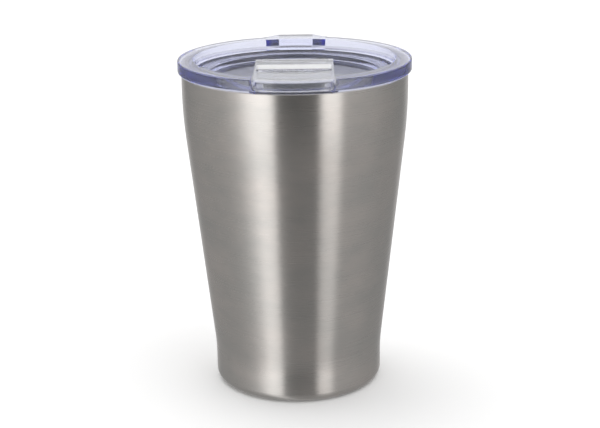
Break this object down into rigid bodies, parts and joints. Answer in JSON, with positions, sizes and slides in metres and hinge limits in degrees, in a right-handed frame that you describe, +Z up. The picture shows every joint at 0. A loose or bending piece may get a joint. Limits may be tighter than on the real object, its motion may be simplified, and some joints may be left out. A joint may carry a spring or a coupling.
{
  "type": "insulated tumbler with lid",
  "caption": "Double-walled stainless steel tumbler with a clear press-in lid, a hinged drinking flap and a rear lift tab.",
  "frame": {"origin": "on the cup's axis, in the plane that the cup stands on", "axes": "+Z up along the cup's axis; -Y towards the drinking side, where the flap's lip fills the notch in the ring; +Y towards the lift tab; +X to the right as the drinking side is looked at"},
  "size_m": [0.088, 0.0918, 0.127],
  "materials": {
    "brushed_shell": "stainless steel brushed round the cup",
    "liner_steel": "bare stainless steel, satin",
    "glass_solder": "dark melted solder glass",
    "getter_alloy": "pressed grey getter powder",
    "clear_lid": "clear moulded plastic with a violet-blue tint in its thick edges",
    "clear_silicone": "translucent silicone",
    "white_silicone": "white silicone"
  },
  "bodies": {
    "cup": {"outer_shell": "brushed_shell", "inner_liner": "liner_steel", "base_plate": "liner_steel", "base_cover": "brushed_shell", "solder_bead": "glass_solder", "getter_pellet": "getter_alloy", "getter_clip": "liner_steel"},
    "lid": {"lid_body": "clear_lid", "lid_gasket": "clear_silicone", "hinge_pin": "liner_steel"},
    "flap": {"drink_flap": "clear_lid", "slot_stopper": "white_silicone", "vent_button": "white_silicone"}
  },
  "joints": [
    {"name": "lid_lift", "type": "slide", "parent": "cup", "child": "lid", "axis": [0, 0, 1], "range_m": [0, 0.04]},
    {"name": "flap_hinge", "type": "hinge", "parent": "lid", "child": "flap", "pos_m": [0, -0.004, 0.125], "axis": [-1, 0, 0], "range_deg": [0, 180]}
  ]
}
